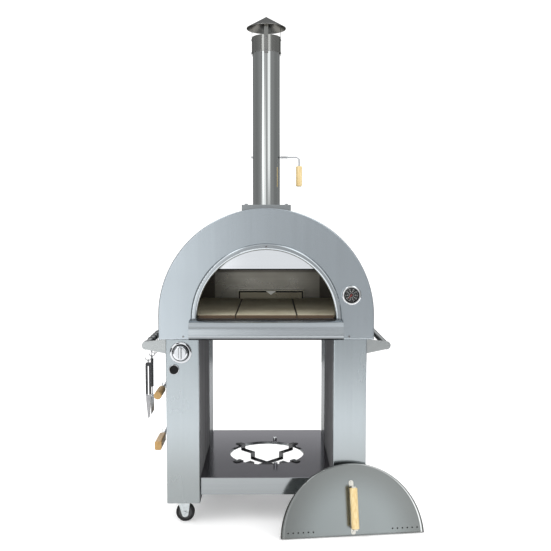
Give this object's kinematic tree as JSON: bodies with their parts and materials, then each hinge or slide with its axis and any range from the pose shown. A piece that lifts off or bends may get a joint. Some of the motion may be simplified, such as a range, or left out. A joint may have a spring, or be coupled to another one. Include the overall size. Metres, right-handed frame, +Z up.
{
  "type": "wood fired pizza oven",
  "caption": "Arched stainless steel pizza oven with a half-round mouth, tall flue and damper, on two pedestals with casters, shelf, side rails, tools and a loose half-round door.",
  "frame": {"origin": "on the floor, under the middle of the oven body's width and depth", "axes": "+X to the right as seen from the mouth, +Y towards the back, +Z up"},
  "size_m": [1.0736, 0.8749, 1.973],
  "materials": {
    "steel_front": "brushed",
    "steel_skin": "brushed",
    "steel_leg": "brushed",
    "steel_inner": "brushed",
    "steel_heat": "heat tinted",
    "steel_mirror": "bright annealed",
    "steel_bar": "satin",
    "steel_door": "brushed",
    "galvanised": "zinc plated",
    "chrome": "polished",
    "brass": "satin",
    "blanket": "soft ceramic fibre",
    "stone": "fired clay",
    "wood_pale": "varnished",
    "wood_tool": "oiled",
    "tool_steel": "black grips on satin steel",
    "button": "gloss",
    "dial": "printed",
    "pointer": "painted",
    "glass": "clear",
    "tyre": "satin"
  },
  "bodies": {
    "oven": {"back_panel": "steel_skin", "base_pan": "steel_inner", "burner_box": "steel_heat", "burner_tube": "steel_heat", "cap_cone": "steel_skin", "cap_straps": "steel_bar", "caster_plates": "galvanised", "cavity_back_wall": "steel_heat", "cavity_liner": "steel_heat", "chimney_pipe": "steel_skin", "control_bezels": "chrome", "flange_bolts": "chrome", "flue_flange": "steel_skin", "front_panel": "steel_front", "gas_pipe": "brass", "gas_valve": "brass", "hearth_stones": "stone", "hearth_tray": "steel_inner", "inner_side_panels": "steel_inner", "insulation_blanket": "blanket", "landing_apron": "steel_front", "left_pedestal": "steel_leg", "mouth_trim": "steel_mirror", "outer_housing": "steel_skin", "pan_head_screws": "chrome", "rail_brackets": "steel_bar", "right_pedestal": "steel_leg", "shelf_pan": "steel_leg", "side_rails": "steel_bar", "smoke_baffle": "steel_mirror", "tank_clamp_screws": "chrome", "tank_cradle": "steel_bar", "thermometer_case": "chrome", "thermometer_dial": "dial", "thermometer_lens": "glass", "tool_rack": "steel_bar"},
    "damper": {"damper_rod": "chrome", "damper_plate": "steel_bar", "damper_spring": "chrome", "damper_grip": "wood_pale"},
    "valve_stem": {"valve_stem": "chrome"},
    "control_knob": {"control_knob": "chrome"},
    "igniter_button": {"igniter_button": "button"},
    "thermometer_pointer": {"thermometer_pointer": "pointer"},
    "door": {"door_panel": "steel_door", "door_bracket": "chrome", "door_grip": "wood_pale"},
    "tongs": {"tongs": "tool_steel"},
    "turner": {"turner": "tool_steel"},
    "spare_hooks": {"spare_hooks": "chrome"},
    "peel": {"peel": "wood_tool"},
    "brush": {"brush": "wood_tool"},
    "caster_fork_front_left": {"caster_fork_front_left": "galvanised"},
    "caster_wheel_front_left": {"caster_wheel_front_left": "tyre"},
    "caster_fork_rear_left": {"caster_fork_rear_left": "galvanised"},
    "caster_wheel_rear_left": {"caster_wheel_rear_left": "tyre"},
    "caster_fork_front_right": {"caster_fork_front_right": "galvanised"},
    "caster_wheel_front_right": {"caster_wheel_front_right": "tyre"},
    "caster_fork_rear_right": {"caster_fork_rear_right": "galvanised"},
    "caster_wheel_rear_right": {"caster_wheel_rear_right": "tyre"}
  },
  "joints": [
    {"name": "damper_turn", "type": "hinge", "parent": "oven", "child": "damper", "pos_m": [0, -0.22, 1.432], "axis": [1, 0, 0], "range_deg": [-90, 0]},
    {"name": "knob_push", "type": "slide", "parent": "oven", "child": "valve_stem", "axis": [0, 1, 0], "range_m": [0, 0.004], "stiffness_N_per_m": 1500},
    {"name": "knob_turn", "type": "hinge", "parent": "valve_stem", "child": "control_knob", "pos_m": [-0.325, -0.37, 0.683], "axis": [0, -1, 0], "range_deg": [0, 225]},
    {"name": "igniter_push", "type": "slide", "parent": "oven", "child": "igniter_button", "axis": [0, 1, 0], "range_m": [0, 0.005], "stiffness_N_per_m": 800},
    {"name": "pointer_turn", "type": "hinge", "parent": "oven", "child": "thermometer_pointer", "pos_m": [0.322, -0.3755, 0.902], "axis": [0, 1, 0], "range_deg": [0, 270], "stiffness_Nm_per_rad": 0.0005},
    {"name": "door_lift", "type": "slide", "parent": "oven", "child": "door", "axis": [0, 0, 1], "range_m": [0, 0.3]},
    {"name": "tongs_swing", "type": "hinge", "parent": "oven", "child": "tongs", "pos_m": [-0.459, -0.325, 0.708], "axis": [0, 1, 0], "range_deg": [-3, 30]},
    {"name": "turner_swing", "type": "hinge", "parent": "oven", "child": "turner", "pos_m": [-0.459, -0.235, 0.708], "axis": [0, 1, 0], "range_deg": [-3, 30]},
    {"name": "spare_hooks_swing", "type": "hinge", "parent": "oven", "child": "spare_hooks", "pos_m": [-0.459, -0.115, 0.708], "axis": [0, 1, 0], "range_deg": [-25, 25]},
    {"name": "peel_lift", "type": "slide", "parent": "oven", "child": "peel", "axis": [0, 0, 1], "range_m": [0, 0.045]},
    {"name": "brush_lift", "type": "slide", "parent": "oven", "child": "brush", "axis": [0, 0, 1], "range_m": [0, 0.045]},
    {"name": "caster_swivel_front_left", "type": "hinge", "parent": "oven", "child": "caster_fork_front_left", "pos_m": [-0.3235, -0.3, 0.085], "axis": [0, 0, 1], "continuous": true},
    {"name": "caster_roll_front_left", "type": "hinge", "parent": "caster_fork_front_left", "child": "caster_wheel_front_left", "pos_m": [-0.3205, -0.3, 0.0365], "axis": [0, 1, 0], "continuous": true},
    {"name": "caster_swivel_rear_left", "type": "hinge", "parent": "oven", "child": "caster_fork_rear_left", "pos_m": [-0.3235, 0.224, 0.085], "axis": [0, 0, 1], "continuous": true},
    {"name": "caster_roll_rear_left", "type": "hinge", "parent": "caster_fork_rear_left", "child": "caster_wheel_rear_left", "pos_m": [-0.3205, 0.224, 0.0365], "axis": [0, 1, 0], "continuous": true},
    {"name": "caster_swivel_front_right", "type": "hinge", "parent": "oven", "child": "caster_fork_front_right", "pos_m": [0.3235, -0.3, 0.085], "axis": [0, 0, 1], "continuous": true},
    {"name": "caster_roll_front_right", "type": "hinge", "parent": "caster_fork_front_right", "child": "caster_wheel_front_right", "pos_m": [0.3265, -0.3, 0.0365], "axis": [0, 1, 0], "continuous": true},
    {"name": "caster_swivel_rear_right", "type": "hinge", "parent": "oven", "child": "caster_fork_rear_right", "pos_m": [0.3235, 0.224, 0.085], "axis": [0, 0, 1], "continuous": true},
    {"name": "caster_roll_rear_right", "type": "hinge", "parent": "caster_fork_rear_right", "child": "caster_wheel_rear_right", "pos_m": [0.3265, 0.224, 0.0365], "axis": [0, 1, 0], "continuous": true}
  ]
}
